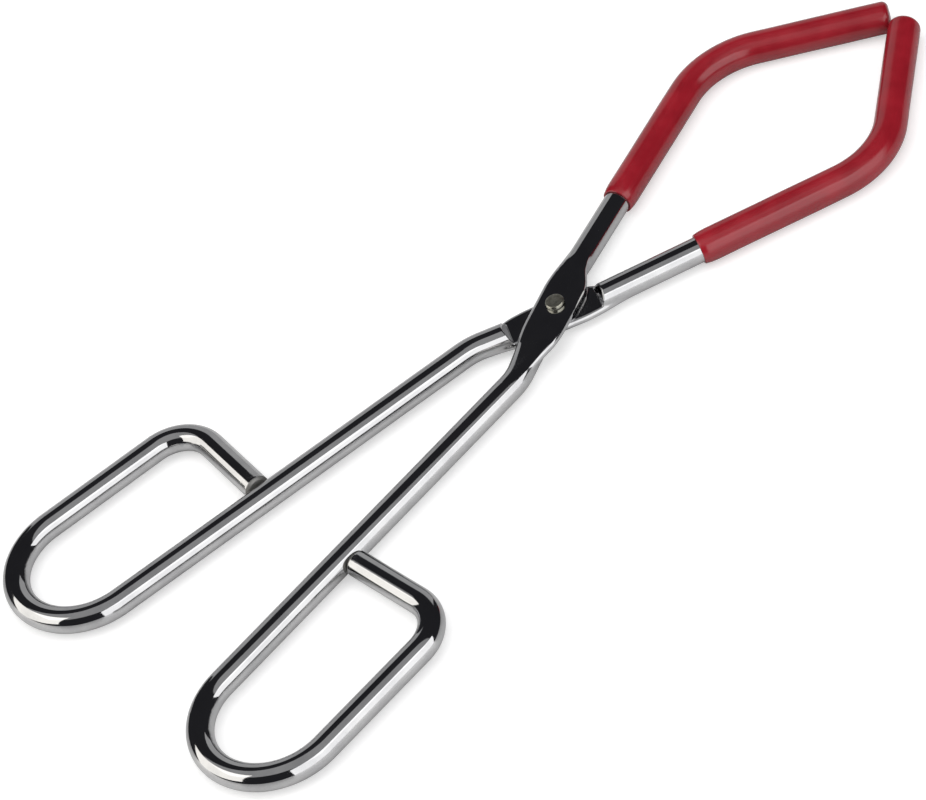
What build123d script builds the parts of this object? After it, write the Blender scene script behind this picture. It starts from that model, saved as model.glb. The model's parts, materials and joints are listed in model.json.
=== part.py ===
from build123d import *
import os
from math import cos, radians, sin

# Jar lifter: scissor tongs bent from two chromed steel rods, riveted through a pair of pressed
# flats, with a red vinyl dip on the jaws. Millimetres, +Z up. The tongs are laid out closed, with
# the pivot axis on Z, the jaws towards +X and the rods' centre lines in the plane Z = 0. At the
# end everything moves together, so that the origin is the middle of the footprint on the table.

# Rod and vinyl
ROD_RADIUS = 3.15
VINYL_THICKNESS = 0.85
SLEEVE_RADIUS = ROD_RADIUS + VINYL_THICKNESS
SLEEVE_TIP_ROUNDING = 1.55
SLEEVE_LIP_ROUNDING = 0.35
VINYL_PAST_ROD = 2.6         # the solid vinyl between a rod's end and its sleeve's tip
ROD_END_CHAMFER = 0.5

# Jaw half of an arm, from the pivot to the tip. A bend is the straight length before it, its
# angle (positive turns left) and its radius.
PIVOT_OFFSET = (0.0, 1.45)   # the rod's centre line passes this far beside the pivot axis
JAW_HEADING = 25.4
JAW_BENDS = [(4.3, -5.15, 88.0), (59.5, -59.15, 21.2)]
UPPER_TIP_RUN = 33.5
LOWER_TIP_RUN = 33.2

# Handle half of an arm, from the pivot round the finger loop to the rod's cut end
HANDLE_HEADING = JAW_HEADING + 180
HANDLE_BENDS = [(19.8, -19.0, 17.0), (97.8, 179.1, 16.65), (30.6, 89.2, 10.1)]
FREE_END_RUN = 20.6

# Pressed flats. Each arm's flat fills its own side of the plane Z = 0, and it lies along its own
# line beside the pivot. The outline is half widths at places along that line.
PAD_GAP = 0.1
PAD_THICKNESS = 2.2
PAD_HEADING = 23.2
PAD_SHIFT = 0.2              # the flat's middle line passes this far beside the pivot axis
PAD_OUTLINE = [(-14.5, 2.4), (-10.8, 4.7), (-3.0, 5.2), (7.0, 5.3), (12.5, 2.6)]
PAD_CORNER_RADIUS = 3.0
PAD_EDGE_ROUNDING = 0.9
FLAT_BACK = -12.5            # the flat's two ends, where it starts to rise to the round rod
FLAT_FRONT = 9.6
SHOULDER_SLOPE = 0.5         # length of the rise for each millimetre of height
CUTTER_HALF_WIDTH = 9.0
CUTTER_HEIGHT = 6.0

# Rivet
RIVET_RADIUS = 1.6
RIVET_CLEARANCE = 0.05
RIVET_HEAD_RADIUS = 2.3
RIVET_HEAD_HEIGHT = 1.2
RIVET_HEAD_ROUNDING = 0.45
RIVET_HEAD_GAP = 0.04

# Vinyl starts, measured along each rod from the pivot
UPPER_SLEEVE_START = 34.7
LOWER_SLEEVE_START = 35.2

EXTRA_CUT = 1.0              # how far a cutting shape runs on past what it cuts
SAME_PLACE = 0.01            # edges this close together count as the same


def bent_path(start, heading, bends, last_run):
    """The centre line of a bent rod: straight runs joined by tangent arcs."""
    edges = []
    point = Vector(*start)
    direction = Vector(cos(radians(heading)), sin(radians(heading)))
    for straight, angle, radius in bends:
        run = Line(point, point + direction * straight)
        bend = JernArc(run @ 1, run % 1, radius, angle)
        edges += [run, bend]
        point = bend @ 1
        direction = bend % 1
    edges.append(Line(point, point + direction * last_run))
    return Wire(edges)


def round_bar(path, radius):
    """A round section swept along a path, with square-cut ends."""
    section = Plane(origin=path @ 0, z_dir=path % 0) * Circle(radius)
    return sweep(section, path)


def cut_end_edge(bar, path, radius, at):
    """The circular edge at one cut end of a bar."""
    centre = path @ at
    rims = bar.edges().filter_by(GeomType.CIRCLE)
    return rims.filter_by(lambda rim: abs(rim.radius - radius) < SAME_PLACE and
                          (rim.arc_center - centre).length < SAME_PLACE)


def pad_cutter(level, side):
    """What the press takes off one side of the rod: level along the flat, sloping away beyond it.
    Side is 1 for material above the level and -1 for material below it."""
    rise = CUTTER_HEIGHT * SHOULDER_SLOPE
    profile = Polyline(
        (FLAT_BACK - rise, level + side * CUTTER_HEIGHT),
        (FLAT_BACK, level),
        (FLAT_FRONT, level),
        (FLAT_FRONT + rise, level + side * CUTTER_HEIGHT),
        close=True,
    )
    across = Plane(origin=(0, CUTTER_HALF_WIDTH, 0), x_dir=(1, 0, 0), z_dir=(0, -1, 0))
    return extrude(across * make_face(profile), 2 * CUTTER_HALF_WIDTH)


def pad_plate(bottom):
    """The pressed flat: an oval plate with rounded edges."""
    points = PAD_OUTLINE + [(along, -half) for along, half in reversed(PAD_OUTLINE)]
    outline = make_face(Polyline(*points, close=True))
    outline = fillet(outline.vertices(), PAD_CORNER_RADIUS)
    plate = extrude(Pos(0, PAD_SHIFT, bottom) * outline, PAD_THICKNESS)
    return fillet(plate.edges().group_by(Axis.Z)[0] + plate.edges().group_by(Axis.Z)[-1],
                  PAD_EDGE_ROUNDING)


def upper_arm(tip_run):
    """One bent rod, pressed flat on the upper side of the pivot plane."""
    jaw = bent_path(PIVOT_OFFSET, JAW_HEADING, JAW_BENDS, tip_run - VINYL_PAST_ROD)
    handle = bent_path(PIVOT_OFFSET, HANDLE_HEADING, HANDLE_BENDS, FREE_END_RUN)
    jaw_bar = round_bar(jaw, ROD_RADIUS)
    jaw_bar = chamfer(cut_end_edge(jaw_bar, jaw, ROD_RADIUS, 1), ROD_END_CHAMFER)
    handle_bar = round_bar(handle, ROD_RADIUS)
    handle_bar = chamfer(cut_end_edge(handle_bar, handle, ROD_RADIUS, 1), ROD_END_CHAMFER)
    bottom = PAD_GAP / 2
    along_pad = Rot(0, 0, PAD_HEADING)
    arm = jaw_bar + handle_bar
    arm -= along_pad * pad_cutter(bottom, -1)
    arm -= along_pad * pad_cutter(bottom + PAD_THICKNESS, 1)
    arm += along_pad * pad_plate(bottom)
    return arm


def sleeve(tip_run, start):
    """The vinyl dip on one jaw: a tube closed at the tip, thicker there."""
    jaw = bent_path(PIVOT_OFFSET, JAW_HEADING, JAW_BENDS, tip_run)
    dipped = jaw.trim(start / jaw.length, 1)
    outside = round_bar(dipped, SLEEVE_RADIUS)
    outside = fillet(cut_end_edge(outside, dipped, SLEEVE_RADIUS, 1), SLEEVE_TIP_ROUNDING)
    outside = fillet(cut_end_edge(outside, dipped, SLEEVE_RADIUS, 0), SLEEVE_LIP_ROUNDING)
    rod = bent_path(PIVOT_OFFSET, JAW_HEADING, JAW_BENDS, tip_run - VINYL_PAST_ROD)
    rod_bar = round_bar(rod.trim((start - EXTRA_CUT) / rod.length, 1), ROD_RADIUS)
    return outside - chamfer(cut_end_edge(rod_bar, rod, ROD_RADIUS, 1), ROD_END_CHAMFER)


def turned_over(shape):
    """The lower arm's version of an upper arm's shape: the same thing turned over about X."""
    return Rot(180, 0, 0) * shape


def rivet_hole(radius):
    """What is drilled out of either flat."""
    return Cylinder(radius, 2 * (PAD_GAP + PAD_THICKNESS + EXTRA_CUT))


def pivot_rivet():
    """A shank with a low rounded head at each end. It is tight in the lower arm."""
    half_stack = PAD_THICKNESS + PAD_GAP / 2
    head_base = half_stack + RIVET_HEAD_GAP
    head = Pos(0, 0, head_base + RIVET_HEAD_HEIGHT / 2) * Cylinder(RIVET_HEAD_RADIUS, RIVET_HEAD_HEIGHT)
    head = fillet(head.edges().group_by(Axis.Z)[-1], RIVET_HEAD_ROUNDING)
    lower_head = Pos(0, 0, RIVET_HEAD_GAP) * turned_over(head)
    shank_top = head_base + RIVET_HEAD_HEIGHT / 2
    shank_bottom = -half_stack - RIVET_HEAD_HEIGHT / 2
    shank = Pos(0, 0, shank_bottom) * extrude(Circle(RIVET_RADIUS), shank_top - shank_bottom)
    return shank + head + lower_head


parts = {
    "upper_arm": upper_arm(UPPER_TIP_RUN) - rivet_hole(RIVET_RADIUS + RIVET_CLEARANCE),
    "lower_arm": turned_over(upper_arm(LOWER_TIP_RUN)) - rivet_hole(RIVET_RADIUS),
    "pivot_rivet": pivot_rivet(),
    "upper_jaw_sleeve": sleeve(UPPER_TIP_RUN, UPPER_SLEEVE_START),
    "lower_jaw_sleeve": turned_over(sleeve(LOWER_TIP_RUN, LOWER_SLEEVE_START)),
}

box = Compound(list(parts.values())).bounding_box()
to_footprint = Pos(-(box.min.X + box.max.X) / 2, -(box.min.Y + box.max.Y) / 2, -box.min.Z)

os.makedirs("parts", exist_ok=True)
for name, shape in parts.items():
    export_step(to_footprint * shape, f"parts/{name}.step")

print("pivot axis at", to_footprint.position)
print("size", box.size)
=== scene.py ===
import json
from math import cos, pi, radians, sin, tan

import bpy
import numpy as np
from mathutils import Matrix, Quaternion, Vector


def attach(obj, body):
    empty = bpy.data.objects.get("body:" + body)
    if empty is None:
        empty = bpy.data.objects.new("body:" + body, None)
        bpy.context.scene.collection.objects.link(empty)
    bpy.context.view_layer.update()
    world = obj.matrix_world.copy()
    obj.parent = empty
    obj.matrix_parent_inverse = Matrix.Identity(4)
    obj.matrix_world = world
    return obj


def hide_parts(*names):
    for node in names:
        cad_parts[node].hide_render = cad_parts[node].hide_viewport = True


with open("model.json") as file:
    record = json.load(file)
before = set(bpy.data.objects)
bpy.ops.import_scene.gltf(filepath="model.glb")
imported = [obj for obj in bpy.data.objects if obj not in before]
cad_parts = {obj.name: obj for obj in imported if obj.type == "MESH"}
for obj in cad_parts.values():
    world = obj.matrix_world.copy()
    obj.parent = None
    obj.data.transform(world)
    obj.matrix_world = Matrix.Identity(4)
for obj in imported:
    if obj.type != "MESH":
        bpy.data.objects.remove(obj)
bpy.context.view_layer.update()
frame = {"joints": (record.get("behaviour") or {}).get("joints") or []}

# Looks of the jar lifter, in metres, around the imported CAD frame. Each arm is one chromed rod,
# lofted along its bent centre line and pressed flat at the pivot. Each vinyl sleeve is a closed
# cup lofted along the same line, and the rivet is turned. The lower arm and its sleeve are the
# upper one's shape turned over about X.

MM = 0.001
PIVOT = Vector(frame["joints"][0]["pos_m"])

# Rod: the same centre line as in the CAD part. A bend is the straight length before it, its angle
# in degrees (positive turns left) and its radius.
ROD_RADIUS = 3.15 * MM
ROD_OFFSET = (0.0, 1.45 * MM)          # the centre line passes this far beside the pivot
JAW_HEADING = 25.4
HANDLE_HEADING = JAW_HEADING + 180
JAW_BENDS = [(4.3 * MM, -5.15, 88.0 * MM), (59.5 * MM, -59.15, 21.2 * MM)]
HANDLE_BENDS = [(19.8 * MM, -19.0, 17.0 * MM), (97.8 * MM, 179.1, 16.65 * MM),
                (30.6 * MM, 89.2, 10.1 * MM)]
FREE_END_RUN = 20.6 * MM
TIP_RUNS = {"upper": 33.5 * MM, "lower": 33.2 * MM}
VINYL_PAST_ROD = 2.6 * MM

# A rod's cut end, from the full rod to the middle of its face: (distance back, radius) in mm
CUT_END = [(0.62, 3.15), (0.52, 3.12), (0.46, 3.07), (0.1, 2.71), (0.03, 2.62), (0.0, 2.5),
           (0.0, 1.6), (0.01, 0.6), (0.01, 0.05)]
END_ZONE = 2 * CUT_END[0][0] * MM      # the plain rod's rings stop this far from a cut end

# Pressed flat: a slab beside the round rod. A station is the distance along the rod from the pivot,
# the slab's half width, and its shift off the rod's centre line, in mm. The slab narrows until it
# is lost inside the rod. Two levels cut the rod off where the slab is, as (station, height) in mm.
# Behind the flat the outer level rises gently. On the face that meets the other arm the rod comes
# back steeply at both ends.
FLAT_TOP = 2.25 * MM
FLAT_BOTTOM = 0.05 * MM
FLAT_STATIONS = [(-25.0, 2.1, 0.0), (-19.5, 3.0, -0.1), (-15.5, 3.75, -0.45), (-12.0, 4.7, -0.8),
                 (-8.0, 5.2, -0.9), (0.0, 5.3, -1.1), (5.0, 5.3, -1.15), (8.0, 4.8, -0.95),
                 (10.0, 4.15, -0.6), (12.0, 3.5, -0.25), (15.0, 2.9, 0.0), (19.0, 1.5, 0.0)]
SIDE_SOFTNESS = 0.9 * MM
HIDDEN = 0.4                           # how far past a face a level is when it has no effect, in mm
ROD_HIDDEN = 3.15 + HIDDEN
OUTER_LEVEL = [(-28.0, ROD_HIDDEN), (-26.6, 3.2), (-12.8, 2.15), (-11.5, 2.25 - HIDDEN),
               (9.8, 2.25 - HIDDEN), (14.5, ROD_HIDDEN)]
OUTER_SOFTNESS = 0.7 * MM
MEETING_LEVEL = [(-14.6, -ROD_HIDDEN), (-12.9, 0.05 + HIDDEN), (9.0, 0.05 + HIDDEN), (10.7, -ROD_HIDDEN)]
MEETING_SOFTNESS = 0.12 * MM
CREASE = 0.35 * MM                     # how widely the slab, the rod and the cuts blend together
FLAT_REACH = 27 * MM                   # past this, on both sides, the rod is plain and round
FLAT_FADE = 11 * MM                    # the sections' middles move onto the rod's over this length
FURTHEST = 8 * MM                      # no section reaches this far from its middle
HALVINGS = 26                          # steps in the search for the surface along each ray
BELL_REACH = 2.5                       # a softened corner reaches this many softnesses each way
BELL_SAMPLES = 21

# Vinyl sleeve: where it starts along each rod, then its outside and lip
SLEEVE_STARTS = {"upper": 34.7 * MM, "lower": 35.2 * MM}
SLEEVE_RADIUS = 4.0 * MM
LIP_THICKNESS = 0.5 * MM
LIP_TAPER = 3.0 * MM                   # the dip reaches its full thickness this far from the lip
LIP_ROUNDING = 0.22 * MM
TIP_ROUNDING = 1.55 * MM
TIP_DISH = 0.06 * MM
TIP_FACE_SHARES = (0.8, 0.55, 0.3, 0.02)   # rings on the tip's flat face, as shares of its radius
WAVINESS = 0.05 * MM                   # how far the outside dips below its full radius
WAVE_LENGTHS = (7 * MM, 3.1 * MM, 4.3 * MM)

# Rivet profile from the bottom's middle to the top's middle: (radius, height) in mm
RIVET_PROFILE = [(0.05, -3.45), (1.2, -3.43), (1.75, -3.33), (2.05, -3.12), (2.2, -2.83), (2.25, -2.53),
                 (2.22, -2.34), (2.15, -2.27), (1.9, -2.26), (1.6, -2.26), (1.6, 2.29), (1.9, 2.29),
                 (2.12, 2.3), (2.2, 2.36), (2.28, 2.6), (2.3, 2.9), (2.27, 3.15), (2.18, 3.32),
                 (2.05, 3.42), (1.9, 3.45), (1.4, 3.44), (0.7, 3.46), (0.05, 3.47)]
RIVET_HEAD_RADIUS = 2.3 * MM
RIVET_AROUND = 96
HOLE_RADII = {"upper": 1.65 * MM, "lower": 1.605 * MM}
HOLE_HALF_DEPTH = 4 * MM
SHARP_ANGLE = 32                       # edges sharper than this many degrees stay sharp

# Mesh density
AROUND = 96
COARSE_STEP = 1.5 * MM
BEND_STEP = 0.6 * MM
FLAT_STEP = 0.5 * MM
SHOULDER_STEP = 0.12 * MM
SHOULDER_ZONE = 1.2 * MM               # the rings are closest together this near a shoulder's ends
LIP_STEPS = 6
TIP_STEPS = 9


def centre_line(heading, bends, last_run):
    """The rod's runs from the pivot outwards, as (length, signed curvature)."""
    runs = []
    for straight, angle, radius in bends:
        runs.append((straight, 0.0))
        turn = radians(angle)
        runs.append((abs(turn) * radius, turn / (abs(turn) * radius)))
    runs.append((last_run, 0.0))
    return radians(heading), runs


def on_line(line, distance):
    """Point and heading at one distance along a centre line."""
    heading, runs = line
    x, y = ROD_OFFSET
    left = distance
    for number, (length, curvature) in enumerate(runs):
        last = number == len(runs) - 1
        step = left if last else min(left, length)
        if curvature:
            turned = heading + curvature * step
            x += (sin(turned) - sin(heading)) / curvature
            y += (cos(heading) - cos(turned)) / curvature
            heading = turned
        else:
            x += cos(heading) * step
            y += sin(heading) * step
        left -= step
        if left <= 0:
            break
    return x, y, heading


def line_length(line):
    return sum(length for length, _ in line[1])


def distances(line, start, end):
    """Ring distances from start to end, closer together in the bends."""
    marks = [0.0]
    bent = []
    for length, curvature in line[1]:
        bent.append(bool(curvature))
        marks.append(marks[-1] + length)
    found = [start]
    for low, high, bend in zip(marks, marks[1:], bent):
        low, high = max(low, start), min(high, end)
        if high <= low:
            continue
        count = max(1, round((high - low) / (BEND_STEP if bend else COARSE_STEP)))
        found += [low + (high - low) * k / count for k in range(1, count + 1)]
    return found


def softened(at, points, softness):
    """Straight lines between (station, value) points in mm, with every corner rounded off."""
    stations = [s * MM for s, _ in points]
    values = [v * MM for _, v in points]
    offsets = np.linspace(-BELL_REACH, BELL_REACH, BELL_SAMPLES)
    weights = np.exp(-0.5 * offsets ** 2)
    weights /= weights.sum()
    return sum(w * np.interp(at + o * softness, stations, values) for w, o in zip(weights, offsets))


def stadium(half_width, half_height):
    """One section: a flat with half-round sides, or a circle when it is as wide as it is high."""
    flat = max(half_width - half_height, 0.0)
    quarter = half_height * pi / 2
    around = 4 * flat + 4 * quarter
    points = []
    for k in range(AROUND):
        lap, rest = divmod(around * k / AROUND, around / 2)
        side = 1 if lap == 0 else -1
        if rest < quarter:
            angle = rest / half_height
            point = (flat + half_height * cos(angle), half_height * sin(angle))
        elif rest < quarter + 2 * flat:
            point = (flat - (rest - quarter), half_height)
        else:
            angle = pi / 2 + (rest - quarter - 2 * flat) / half_height
            point = (-flat + half_height * cos(angle), half_height * sin(angle))
        points.append((side * point[0], side * point[1]))
    return points


def circle(radius):
    return stadium(radius, radius)


def new_mesh(name, rings, runs, radius):
    """A closed mesh from rings of equal size. Its UV map holds metres along and round the rod."""
    size = len(rings[0])
    vertices = [tuple(p) for ring in rings for p in ring]
    faces = []
    for r in range(len(rings) - 1):
        for k in range(size):
            n = (k + 1) % size
            faces.append((r * size + k, r * size + n, (r + 1) * size + n, (r + 1) * size + k))
    faces.append(tuple(reversed(range(size))))
    faces.append(tuple((len(rings) - 1) * size + k for k in range(size)))
    mesh = bpy.data.meshes.new(name)
    mesh.from_pydata(vertices, [], faces)
    layer = mesh.uv_layers.new(name="along_and_round")
    for polygon in mesh.polygons:
        indices = list(polygon.vertices)
        columns = [i % size for i in indices]
        wraps = max(columns) == size - 1 and min(columns) == 0 and len(indices) == 4
        for loop, index in zip(polygon.loop_indices, indices):
            ring, column = divmod(index, size)
            turn = 1.0 if wraps and column == 0 else column / size
            layer.data[loop].uv = (runs[ring], turn * 2 * pi * radius)
    mesh.validate()
    obj = bpy.data.objects.new(name, mesh)
    bpy.context.scene.collection.objects.link(obj)
    return obj


def place(line, distance, section, backwards=False):
    """A section's points across the centre line at one distance."""
    x, y, heading = on_line(line, distance)
    if backwards:
        heading += pi
    side = (-sin(heading), cos(heading))
    return [(x + side[0] * across, y + side[1] * across, up) for across, up in section]


def joined(first, second):
    """Distances outside two shapes taken as one, with the crease between them eased."""
    close = np.maximum(CREASE - np.abs(first - second), 0.0)
    return np.minimum(first, second) - close ** 2 / (4 * CREASE)


def common(first, second):
    """Distances outside what two shapes share, with the edge between them eased."""
    return -joined(-first, -second)


def flat_section(along):
    """The section of the pressed part at a distance from the pivot: the slab and the cut-off rod
    together, found along rays from the section's middle."""
    half = softened(along, [(s, w) for s, w, _ in FLAT_STATIONS], SIDE_SOFTNESS)
    shift = softened(along, [(s, m) for s, _, m in FLAT_STATIONS], SIDE_SOFTNESS)
    top = softened(along, OUTER_LEVEL, OUTER_SOFTNESS)
    bottom = softened(along, MEETING_LEVEL, MEETING_SOFTNESS)
    slab_half = (FLAT_TOP - FLAT_BOTTOM) / 2
    slab_middle = (FLAT_TOP + FLAT_BOTTOM) / 2
    highest = min(max(top, FLAT_TOP), ROD_RADIUS)
    lowest = max(min(bottom, FLAT_BOTTOM), -ROD_RADIUS)
    height = (highest - lowest) / 2
    pressed = np.interp(abs(along), [FLAT_REACH - FLAT_FADE, FLAT_REACH], [1, 0])
    middle = (shift * slab_half / height, slab_middle * pressed)
    rays = np.array(stadium(max(half, height), height))
    rays /= np.linalg.norm(rays, axis=1)[:, None]
    near = np.zeros(AROUND)
    far = np.full(AROUND, FURTHEST)
    for _ in range(HALVINGS):
        reach = (near + far) / 2
        across = middle[0] + rays[:, 0] * reach
        up = middle[1] + rays[:, 1] * reach
        past_side = np.maximum(np.abs(across - shift) - max(half - slab_half, 0.0), 0.0)
        slab = np.hypot(past_side, up - slab_middle) - slab_half
        rod = common(common(np.hypot(across, up) - ROD_RADIUS, bottom - up), up - top)
        outside = joined(slab, rod) > 0
        far = np.where(outside, reach, far)
        near = np.where(outside, near, reach)
    return [(middle[0] + x * r, middle[1] + y * r) for (x, y), r in zip(rays, far)]


def build_arm(name, tip_run):
    """One arm as the upper arm lies: from the handle's cut end, through the flat, to the jaw."""
    jaw = centre_line(JAW_HEADING, JAW_BENDS, tip_run - VINYL_PAST_ROD)
    handle = centre_line(HANDLE_HEADING, HANDLE_BENDS, FREE_END_RUN)
    jaw_end = line_length(jaw)
    handle_end = line_length(handle)
    rings = []
    runs = []
    for back, radius in reversed(CUT_END):
        at = handle_end - back * MM
        rings.append(place(handle, at, circle(radius * MM), backwards=True))
        runs.append(-at)
    for at in reversed(distances(handle, FLAT_REACH, handle_end - END_ZONE)):
        rings.append(place(handle, at, circle(ROD_RADIUS), backwards=True))
        runs.append(-at)
    shoulders = [station * MM for station, _ in MEETING_LEVEL]
    at = -FLAT_REACH + FLAT_STEP
    while at < FLAT_REACH - FLAT_STEP / 2:
        section = flat_section(at)
        rings.append(place(handle, -at, section, backwards=True) if at < 0 else place(jaw, at, section))
        runs.append(at)
        near = min(abs(at - shoulder) for shoulder in shoulders) < SHOULDER_ZONE
        at += SHOULDER_STEP if near else FLAT_STEP
    for at in distances(jaw, FLAT_REACH, jaw_end - END_ZONE):
        rings.append(place(jaw, at, circle(ROD_RADIUS)))
        runs.append(at)
    for back, radius in CUT_END:
        at = jaw_end - back * MM
        rings.append(place(jaw, at, circle(radius * MM)))
        runs.append(at)
    return new_mesh(name, rings, runs, ROD_RADIUS)


def drill(arm, radius):
    """Cuts the rivet's hole through an arm that still lies in the pivot frame."""
    bpy.ops.mesh.primitive_cylinder_add(vertices=RIVET_AROUND, radius=radius, depth=2 * HOLE_HALF_DEPTH)
    cutter = bpy.context.object
    cut = arm.modifiers.new("hole", "BOOLEAN")
    cut.operation = "DIFFERENCE"
    cut.solver = "EXACT"
    cut.object = cutter
    evaluated = arm.evaluated_get(bpy.context.evaluated_depsgraph_get())
    drilled = bpy.data.meshes.new_from_object(evaluated)
    drilled.name = arm.name
    arm.modifiers.clear()
    arm.data = drilled
    bpy.data.objects.remove(cutter)


def dip_wave(at, angle):
    """The dip's slow unevenness at a distance along the rod and an angle round it, from -2 to 2."""
    spiral, counter, plain = WAVE_LENGTHS
    return sin(at / spiral + 2 * angle) * sin(at / counter - angle) + sin(at / plain + 3)


def build_sleeve(name, tip_run, start):
    """One vinyl sleeve: from the bottom of its bore, back to the lip, and out to the tip."""
    jaw = centre_line(JAW_HEADING, JAW_BENDS, tip_run)
    tip = line_length(jaw)
    bore_end = tip - VINYL_PAST_ROD
    rings = []
    runs = []

    def add(at, radius, wavy=0.0):
        ring = []
        for across, up in circle(radius):
            wave = dip_wave(at, np.arctan2(up, across))
            squeeze = 1 - wavy * (2 + wave) / 4 / radius
            ring.append((across * squeeze, up * squeeze))
        rings.append(place(jaw, at, ring))
        runs.append(at)

    for back, radius in reversed(CUT_END):
        add(bore_end - back * MM, radius * MM)
    for at in reversed(distances(jaw, start + LIP_ROUNDING, bore_end - END_ZONE)):
        add(at, ROD_RADIUS)
    lip_middle = ROD_RADIUS + LIP_THICKNESS / 2
    for k in range(1, 2 * LIP_STEPS):
        angle = pi * k / (2 * LIP_STEPS)
        add(start + LIP_ROUNDING * (1 - sin(angle)), lip_middle - LIP_THICKNESS / 2 * cos(angle))
    for at in distances(jaw, start + LIP_ROUNDING, tip - TIP_ROUNDING):
        grown = min((at - start) / LIP_TAPER, 1.0)
        grown = sin(grown * pi / 2)
        full = ROD_RADIUS + LIP_THICKNESS + (SLEEVE_RADIUS - ROD_RADIUS - LIP_THICKNESS) * grown
        add(at, full, WAVINESS * grown)
    for k in range(1, TIP_STEPS + 1):
        angle = pi / 2 * k / TIP_STEPS
        radius = SLEEVE_RADIUS - TIP_ROUNDING * (1 - cos(angle))
        add(tip - TIP_ROUNDING * (1 - sin(angle)), radius, WAVINESS * cos(angle))
    face = SLEEVE_RADIUS - TIP_ROUNDING
    for share in TIP_FACE_SHARES:
        add(tip - TIP_DISH * (1 - share ** 2), face * share)
    return new_mesh(name, rings, runs, SLEEVE_RADIUS)


def build_rivet():
    """The rivet, turned about the pivot axis."""
    rings = []
    runs = []
    run = 0.0
    before = RIVET_PROFILE[0]
    for radius, height in RIVET_PROFILE:
        run += ((radius - before[0]) ** 2 + (height - before[1]) ** 2) ** 0.5 * MM
        before = (radius, height)
        turns = [2 * pi * k / RIVET_AROUND for k in range(RIVET_AROUND)]
        rings.append([(radius * MM * cos(t), radius * MM * sin(t), height * MM) for t in turns])
        runs.append(run)
    return new_mesh("turned_rivet", rings, runs, RIVET_HEAD_RADIUS)


def settle(obj, turned_over):
    """Moves a piece from the pivot frame to the row frame, turned over for the lower arm."""
    obj.data.transform(Matrix.Rotation(pi, 4, "X") if turned_over else Matrix.Identity(4))
    obj.data.transform(Matrix.Translation(PIVOT))
    obj.data.shade_smooth()
    obj.data.set_sharp_from_angle(angle=radians(SHARP_ANGLE))
    obj.data.update()


def stand_for(piece, body, node):
    """Lets a piece take over a CAD node on one of the two moving bodies."""
    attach(piece, body)
    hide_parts(node)


# Node materials

class Graph:
    """A Principled material and short ways to add and join its nodes."""

    def __init__(self, name):
        self.material = bpy.data.materials.new(name)
        self.material.use_nodes = True
        self.nodes = self.material.node_tree.nodes
        self.links = self.material.node_tree.links
        self.shader = self.nodes["Principled BSDF"]

    def add(self, kind, inputs=(), **settings):
        node = self.nodes.new(kind)
        for key, value in settings.items():
            setattr(node, key, value)
        for socket, value in dict(inputs).items():
            self.feed(node.inputs[socket], value)
        return node

    def feed(self, socket, value):
        """Joins a socket to another node's output, or sets it."""
        if isinstance(value, bpy.types.NodeSocket):
            self.links.new(value, socket)
        else:
            socket.default_value = value

    def object_coordinates(self):
        return self.add("ShaderNodeTexCoord").outputs["Object"]

    def rod_map(self):
        """Metres along the rod from the pivot, and metres round it."""
        return self.add("ShaderNodeUVMap", uv_map="along_and_round").outputs["UV"]

    def along_rod(self):
        return self.add("ShaderNodeSeparateXYZ", {"Vector": self.rod_map()}).outputs["X"]

    def stretched(self, along, around):
        """The rod's map, scaled separately both ways so that noise can run in streaks."""
        sockets = {"Vector": self.rod_map(), "Scale": (along, around, 1)}
        return self.add("ShaderNodeMapping", sockets).outputs["Vector"]

    def from_pivot(self):
        sockets = {0: self.object_coordinates(), 1: tuple(PIVOT)}
        return self.add("ShaderNodeVectorMath", sockets, operation="SUBTRACT").outputs[0]

    def height_off_pivot(self):
        """Distance above or below the plane where the arms meet."""
        height = self.add("ShaderNodeSeparateXYZ", {"Vector": self.from_pivot()}).outputs["Z"]
        return self.math("ABSOLUTE", height)

    def reach_from_pivot(self):
        """Distance from the pivot axis."""
        level = self.add("ShaderNodeVectorMath", {0: self.from_pivot(), 1: (1, 1, 0)}, operation="MULTIPLY")
        return self.add("ShaderNodeVectorMath", {0: level.outputs[0]}, operation="LENGTH").outputs["Value"]

    def noise(self, vector, scale, detail=3.0, roughness=0.55, distortion=0.0):
        sockets = {"Vector": vector, "Scale": scale, "Detail": detail, "Roughness": roughness,
                   "Distortion": distortion}
        return self.add("ShaderNodeTexNoise", sockets).outputs["Fac"]

    def between(self, value, low, high, to_low=0.0, to_high=1.0):
        """Maps a value's range onto another range, held at its ends."""
        sockets = {"Value": value, "From Min": low, "From Max": high, "To Min": to_low, "To Max": to_high}
        return self.add("ShaderNodeMapRange", sockets, interpolation_type="SMOOTHSTEP").outputs["Result"]

    def math(self, operation, first, second=0.0):
        return self.add("ShaderNodeMath", {0: first, 1: second}, operation=operation).outputs[0]

    def blend(self, factor, first, second):
        node = self.add("ShaderNodeMix", data_type="RGBA")
        self.feed(node.inputs["Factor"], factor)
        self.feed(node.inputs["A"], first)
        self.feed(node.inputs["B"], second)
        return node.outputs["Result"]

    def bump(self, height, depth, strength=1.0, below=None):
        node = self.add("ShaderNodeBump", {"Height": height, "Distance": depth, "Strength": strength})
        if below is not None:
            self.links.new(below, node.inputs["Normal"])
        return node.outputs["Normal"]

    def finish(self, colour, roughness, normal):
        self.feed(self.shader.inputs["Base Color"], colour)
        self.feed(self.shader.inputs["Roughness"], roughness)
        self.feed(self.shader.inputs["Normal"], normal)
        return self.material


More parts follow.
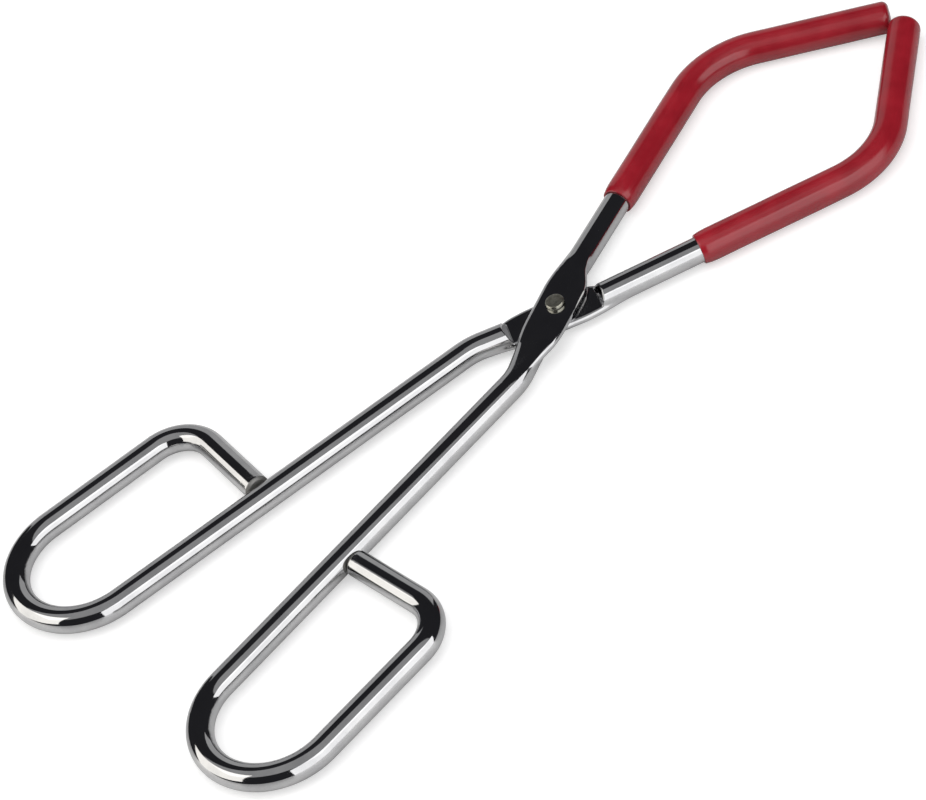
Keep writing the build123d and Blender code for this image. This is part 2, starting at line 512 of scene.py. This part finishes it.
# Noise scales are in cycles per metre. Stretched ones are along the rod and round it.
HANDLE_END = line_length(centre_line(HANDLE_HEADING, HANDLE_BENDS, FREE_END_RUN))
CHROME_LIGHT = (0.585, 0.585, 0.59, 1)
CHROME_DARK = (0.5, 0.5, 0.51, 1)
BARE_STEEL = (0.4, 0.395, 0.385, 1)
CHROME_ROUGHNESS = (0.05, 0.085)
STREAK_ROUGHNESS = 0.05
SCUFF_ROUGHNESS = 0.2
BARE_ROUGHNESS = 0.55
SMUDGE_SCALE = 130.0
SPECK_SCALE = 2600.0
SCUFF_SCALE = 1500.0
RING_SCALE = 5200.0
SAWN_SCALE = 4200.0
STREAKS = (55.0, 2600.0)
FINE_STREAKS = (240.0, 9000.0)
DRAWN_WAVES = (120.0, 330.0)
WAVE_DEPTH = 0.012 * MM
STREAK_DEPTH = 0.0012 * MM
SCUFF_DEPTH = 0.006 * MM
SAWN_DEPTH = 0.03 * MM
SCUFF_ZONE = (5 * MM, 0.5 * MM)        # distances from the handle's cut end, from none to full
BARE_ZONE = (0.8 * MM, 0.6 * MM)
RUBBED_ZONE = (9 * MM, 6 * MM)         # distances from the pivot axis
RUBBED_HEIGHT = (0.5 * MM, 0.2 * MM)   # distances from the plane where the arms meet


def chrome():
    """Bright plate over drawn rod: lengthwise streaks, smudges, scuffs, and a bare sawn end."""
    g = Graph("chromed_rod")
    where = g.object_coordinates()
    along = g.along_rod()

    smudges = g.noise(where, SMUDGE_SCALE, 4.0, 0.6)
    streaks = g.noise(g.stretched(*STREAKS), 1.0, 2.0, 0.5)
    fine = g.noise(g.stretched(*FINE_STREAKS), 1.0, 2.0, 0.6)
    waves = g.noise(g.stretched(*DRAWN_WAVES), 1.0, 1.0, 0.4)
    specks = g.between(g.noise(where, SPECK_SCALE, 2.0, 0.5), 0.68, 0.76)

    # the rod is scuffed near the handle's cut end, and bare on the end itself
    scuff_zone = g.between(along, *(distance - HANDLE_END for distance in SCUFF_ZONE))
    scuffs = g.math("MULTIPLY", scuff_zone, g.between(g.noise(where, SCUFF_SCALE, 5.0, 0.7), 0.45, 0.65))
    bare = g.between(along, *(distance - HANDLE_END for distance in BARE_ZONE))
    sawn = g.noise(where, SAWN_SCALE, 4.0, 0.7)

    # the other arm rubs rings round the rivet
    reach = g.reach_from_pivot()
    near_plane = g.between(g.height_off_pivot(), *RUBBED_HEIGHT)
    rubbed = g.math("MULTIPLY", g.between(reach, *RUBBED_ZONE), near_plane)
    ring_points = g.add("ShaderNodeCombineXYZ", {"X": reach}).outputs["Vector"]
    rings = g.math("MULTIPLY", rubbed, g.between(g.noise(ring_points, RING_SCALE, 2.0, 0.6), 0.35, 0.7))

    colour = g.blend(g.between(smudges, 0.35, 0.75), CHROME_LIGHT, CHROME_DARK)
    colour = g.blend(g.math("MULTIPLY", specks, 0.5), colour, BARE_STEEL)
    colour = g.blend(bare, colour, BARE_STEEL)

    rough = g.between(smudges, 0.4, 0.8, *CHROME_ROUGHNESS)
    rough = g.math("ADD", rough, g.between(streaks, 0.55, 0.85, 0.0, STREAK_ROUGHNESS))
    rough = g.math("ADD", rough, g.math("MULTIPLY", scuffs, SCUFF_ROUGHNESS))
    rough = g.math("ADD", rough, g.math("MULTIPLY", rings, SCUFF_ROUGHNESS))
    rough = g.math("ADD", rough, g.math("MULTIPLY", bare, BARE_ROUGHNESS))

    normal = g.bump(waves, WAVE_DEPTH, 0.35)
    normal = g.bump(fine, STREAK_DEPTH, 0.3, normal)
    normal = g.bump(scuffs, SCUFF_DEPTH, 0.5, normal)
    normal = g.bump(g.math("MULTIPLY", bare, sawn), SAWN_DEPTH, 0.6, normal)
    g.feed(g.shader.inputs["Metallic"], 1.0)
    return g.finish(colour, rough, normal)


VINYL_DEEP = (0.265, 0.009, 0.017, 1)
VINYL_BRIGHT = (0.33, 0.012, 0.022, 1)
VINYL_SCUFFED = (0.33, 0.03, 0.035, 1)
VINYL_SHINE = 0.65
VINYL_ROUGHNESS = (0.17, 0.22)
RUB_ROUGHNESS = 0.12
CLOUD_SCALE = 140.0
PEEL_SCALE = 1100.0
DRIPS = (60.0, 260.0)
SCRATCHES = (700.0, 2600.0)
DRIP_DEPTH = 0.1 * MM
PEEL_DEPTH = 0.008 * MM
RUBBED_LENGTH = 26 * MM                # how far back from the tip the vinyl is rubbed


def vinyl():
    """Dipped vinyl: soft shine, orange peel, slow drips, and pale rub marks towards the tip."""
    g = Graph("red_vinyl")
    where = g.object_coordinates()
    tip = line_length(centre_line(JAW_HEADING, JAW_BENDS, TIP_RUNS["lower"]))

    clouds = g.noise(where, CLOUD_SCALE, 3.0, 0.5)
    peel = g.noise(where, PEEL_SCALE, 2.0, 0.5)
    drips = g.noise(g.stretched(*DRIPS), 1.0, 2.0, 0.5)
    tip_zone = g.between(g.along_rod(), tip - RUBBED_LENGTH, tip, 0.1, 0.6)
    scratches = g.between(g.noise(g.stretched(*SCRATCHES), 1.0, 4.0, 0.7), 0.56, 0.74)
    rubs = g.math("MULTIPLY", tip_zone, scratches)

    colour = g.blend(g.between(clouds, 0.3, 0.7), VINYL_DEEP, VINYL_BRIGHT)
    colour = g.blend(g.math("MULTIPLY", rubs, 0.3), colour, VINYL_SCUFFED)
    rough = g.between(clouds, 0.3, 0.7, *VINYL_ROUGHNESS)
    rough = g.math("ADD", rough, g.math("MULTIPLY", rubs, RUB_ROUGHNESS))
    normal = g.bump(drips, DRIP_DEPTH, 0.3)
    normal = g.bump(peel, PEEL_DEPTH, 0.4, normal)
    g.feed(g.shader.inputs["Specular IOR Level"], VINYL_SHINE)
    return g.finish(colour, rough, normal)


RIVET_LIGHT = (0.5, 0.49, 0.42, 1)
RIVET_DARK = (0.3, 0.29, 0.24, 1)
RIVET_ROUGHNESS = (0.2, 0.32)
FACE_ROUGHNESS = 0.16
FACE_HEIGHTS = (3.3 * MM, 3.43 * MM)   # where a head's side turns into its face
TARNISH_SCALE = 900.0
DENT_SCALE = 1700.0
NICKEL_GRAIN_SCALE = 9000.0
DENT_DEPTH = 0.12 * MM
NICKEL_GRAIN_DEPTH = 0.004 * MM


def rivet_steel():
    """Nickel plate, dull and hammered on the heads' faces, brighter round their sides."""
    g = Graph("rivet_steel")
    where = g.object_coordinates()
    face = g.between(g.height_off_pivot(), *FACE_HEIGHTS)
    tarnish = g.noise(where, TARNISH_SCALE, 4.0, 0.65)
    dents = g.noise(where, DENT_SCALE, 2.0, 0.5)
    grain = g.noise(where, NICKEL_GRAIN_SCALE, 3.0, 0.6)
    colour = g.blend(g.between(tarnish, 0.35, 0.65), RIVET_LIGHT, RIVET_DARK)
    rough = g.between(tarnish, 0.3, 0.7, *RIVET_ROUGHNESS)
    rough = g.math("ADD", rough, g.math("MULTIPLY", face, FACE_ROUGHNESS))
    normal = g.bump(g.math("MULTIPLY", face, dents), DENT_DEPTH, 0.6)
    normal = g.bump(grain, NICKEL_GRAIN_DEPTH, 0.4, normal)
    g.feed(g.shader.inputs["Metallic"], 1.0)
    return g.finish(colour, rough, normal)


# The pieces

CHROME = chrome()
VINYL = vinyl()
RIVET_STEEL = rivet_steel()

for side, body in (("upper", "upper_body"), ("lower", "lower_body")):
    turned = side == "lower"
    arm = build_arm(f"{side}_arm_rod", TIP_RUNS[side])
    drill(arm, HOLE_RADII[side])
    arm.data.materials.append(CHROME)
    settle(arm, turned)
    stand_for(arm, body, f"{side}_arm")
    dip = build_sleeve(f"{side}_jaw_dip", TIP_RUNS[side], SLEEVE_STARTS[side])
    dip.data.materials.append(VINYL)
    settle(dip, turned)
    stand_for(dip, body, f"{side}_jaw_sleeve")

rivet = build_rivet()
rivet.data.materials.append(RIVET_STEEL)
settle(rivet, False)
stand_for(rivet, "lower_body", "pivot_rivet")

# Camera, aimed at a point on the rods' middle plane. Angles are in degrees.
CAMERA_AIM = PIVOT + Vector((-32.1 * MM, -2.0 * MM, 0.0))
CAMERA_AZIMUTH = -114.38
CAMERA_ELEVATION = 44.99
CAMERA_DISTANCE = 895.4 * MM
CAMERA_ROLL = -22.8
LENS = 151.5
SENSOR = 36.0
NEAREST_SEEN = 0.01


def direction(azimuth, elevation):
    a, e = radians(azimuth), radians(elevation)
    return Vector((cos(e) * cos(a), cos(e) * sin(a), sin(e)))


def add_camera():
    data = bpy.data.cameras.new("camera")
    data.lens = LENS
    data.sensor_width = SENSOR
    data.clip_start = NEAREST_SEEN
    camera = bpy.data.objects.new("camera", data)
    outward = direction(CAMERA_AZIMUTH, CAMERA_ELEVATION)
    level = (-outward).to_track_quat("-Z", "Y")
    camera.rotation_mode = "QUATERNION"
    camera.rotation_quaternion = level @ Quaternion((0, 0, 1), radians(CAMERA_ROLL))
    camera.location = CAMERA_AIM + outward * CAMERA_DISTANCE
    bpy.context.scene.collection.objects.link(camera)
    bpy.context.scene.camera = camera


def panel(name, spot, turn, width, height, radiance, colour=(1, 1, 1), seen=True):
    """A flat even light. The camera doesn't see it, and the chrome may or may not."""
    data = bpy.data.lights.new(name, "AREA")
    data.shape = "RECTANGLE"
    data.size = width
    data.size_y = height
    data.energy = 4 * width * height * radiance
    data.color = colour
    light = bpy.data.objects.new(name, data)
    light.rotation_mode = "QUATERNION"
    light.rotation_quaternion = turn
    light.location = PIVOT + spot
    light.visible_camera = False
    light.visible_glossy = seen
    bpy.context.scene.collection.objects.link(light)


def softbox(name, azimuth, elevation, distance, width, height, radiance, colour=(1, 1, 1), roll=0):
    """A panel that faces the object. Its width and height are angles seen from the object."""
    outward = direction(azimuth, elevation)
    turn = (-outward).to_track_quat("-Z", "Y") @ Quaternion((0, 0, 1), radians(roll))
    sizes = [2 * distance * tan(radians(angle / 2)) for angle in (width, height)]
    panel(name, outward * distance, turn, *sizes, radiance, colour)


FLOOR_SIZE = 8
FLOOR_SEEN = (0.66, 0.66, 0.66, 1)
FLOOR_REFLECTED = (0.68, 0.68, 0.68, 1)
FLOOR_GLOW = 0.5                       # lifts the floor's soft shadows for the camera
FLOOR_SHEEN = 0.5
FLOOR_ROUGHNESS = (0.24, 0.3)
FLOOR_SPECKLE_SCALE = 900.0


def add_floor():
    """A pale sheet. The chrome sees it greyer and with a sheen that the camera doesn't see."""
    bpy.ops.mesh.primitive_plane_add(size=FLOOR_SIZE)
    floor = bpy.context.object
    floor.name = "floor"
    g = Graph("floor")
    speckle = g.noise(g.object_coordinates(), FLOOR_SPECKLE_SCALE, 2.0, 0.5)
    rough = g.between(speckle, 0.3, 0.7, *FLOOR_ROUGHNESS)
    from_camera = g.add("ShaderNodeLightPath").outputs["Is Camera Ray"]
    g.feed(g.shader.inputs["Base Color"], g.blend(from_camera, FLOOR_REFLECTED, FLOOR_SEEN))
    g.feed(g.shader.inputs["Roughness"], rough)
    g.feed(g.shader.inputs["Specular IOR Level"], g.between(from_camera, 0.0, 1.0, FLOOR_SHEEN, 0.0))
    g.feed(g.shader.inputs["Emission Color"], (1, 1, 1, 1))
    g.feed(g.shader.inputs["Emission Strength"], g.math("MULTIPLY", from_camera, FLOOR_GLOW))
    floor.data.materials.append(g.material)


WORLD_SEEN = (0.9, 0.9, 0.9, 1)
WORLD_REFLECTED = (0.022, 0.022, 0.025, 1)


def add_world():
    """A dark room in the reflections and a pale backdrop to the camera."""
    world = bpy.data.worlds.new("studio")
    bpy.context.scene.world = world
    world.use_nodes = True
    nodes = world.node_tree.nodes
    links = world.node_tree.links
    path = nodes.new("ShaderNodeLightPath")
    mix = nodes.new("ShaderNodeMix")
    mix.data_type = "RGBA"
    mix.inputs["A"].default_value = WORLD_REFLECTED
    mix.inputs["B"].default_value = WORLD_SEEN
    links.new(path.outputs["Is Camera Ray"], mix.inputs["Factor"])
    links.new(mix.outputs["Result"], nodes["Background"].inputs["Color"])


add_camera()
softbox("front_softbox", azimuth=-83, elevation=21, distance=1.2, width=72, height=57, radiance=1.2,
        roll=-8)
softbox("warm_softbox", azimuth=154, elevation=27, distance=1.2, width=52, height=48, radiance=1.2,
        colour=(1.0, 0.975, 0.92), roll=25)
softbox("rear_sweep", azimuth=55, elevation=6, distance=1.5, width=60, height=60, radiance=0.34, roll=8)
ceiling_turn = Quaternion((0, 0, 1), radians(40))
panel("ceiling", ceiling_turn @ Vector((-0.215, 0.0, 0.5)), ceiling_turn, width=0.5, height=1.2,
      radiance=0.28)
panel("overhead_fill", Vector((0, 0, 1.6)), Quaternion(), width=1.8, height=1.8, radiance=1.5, seen=False)
add_floor()
add_world()
bpy.context.scene.view_settings.view_transform = "Standard"
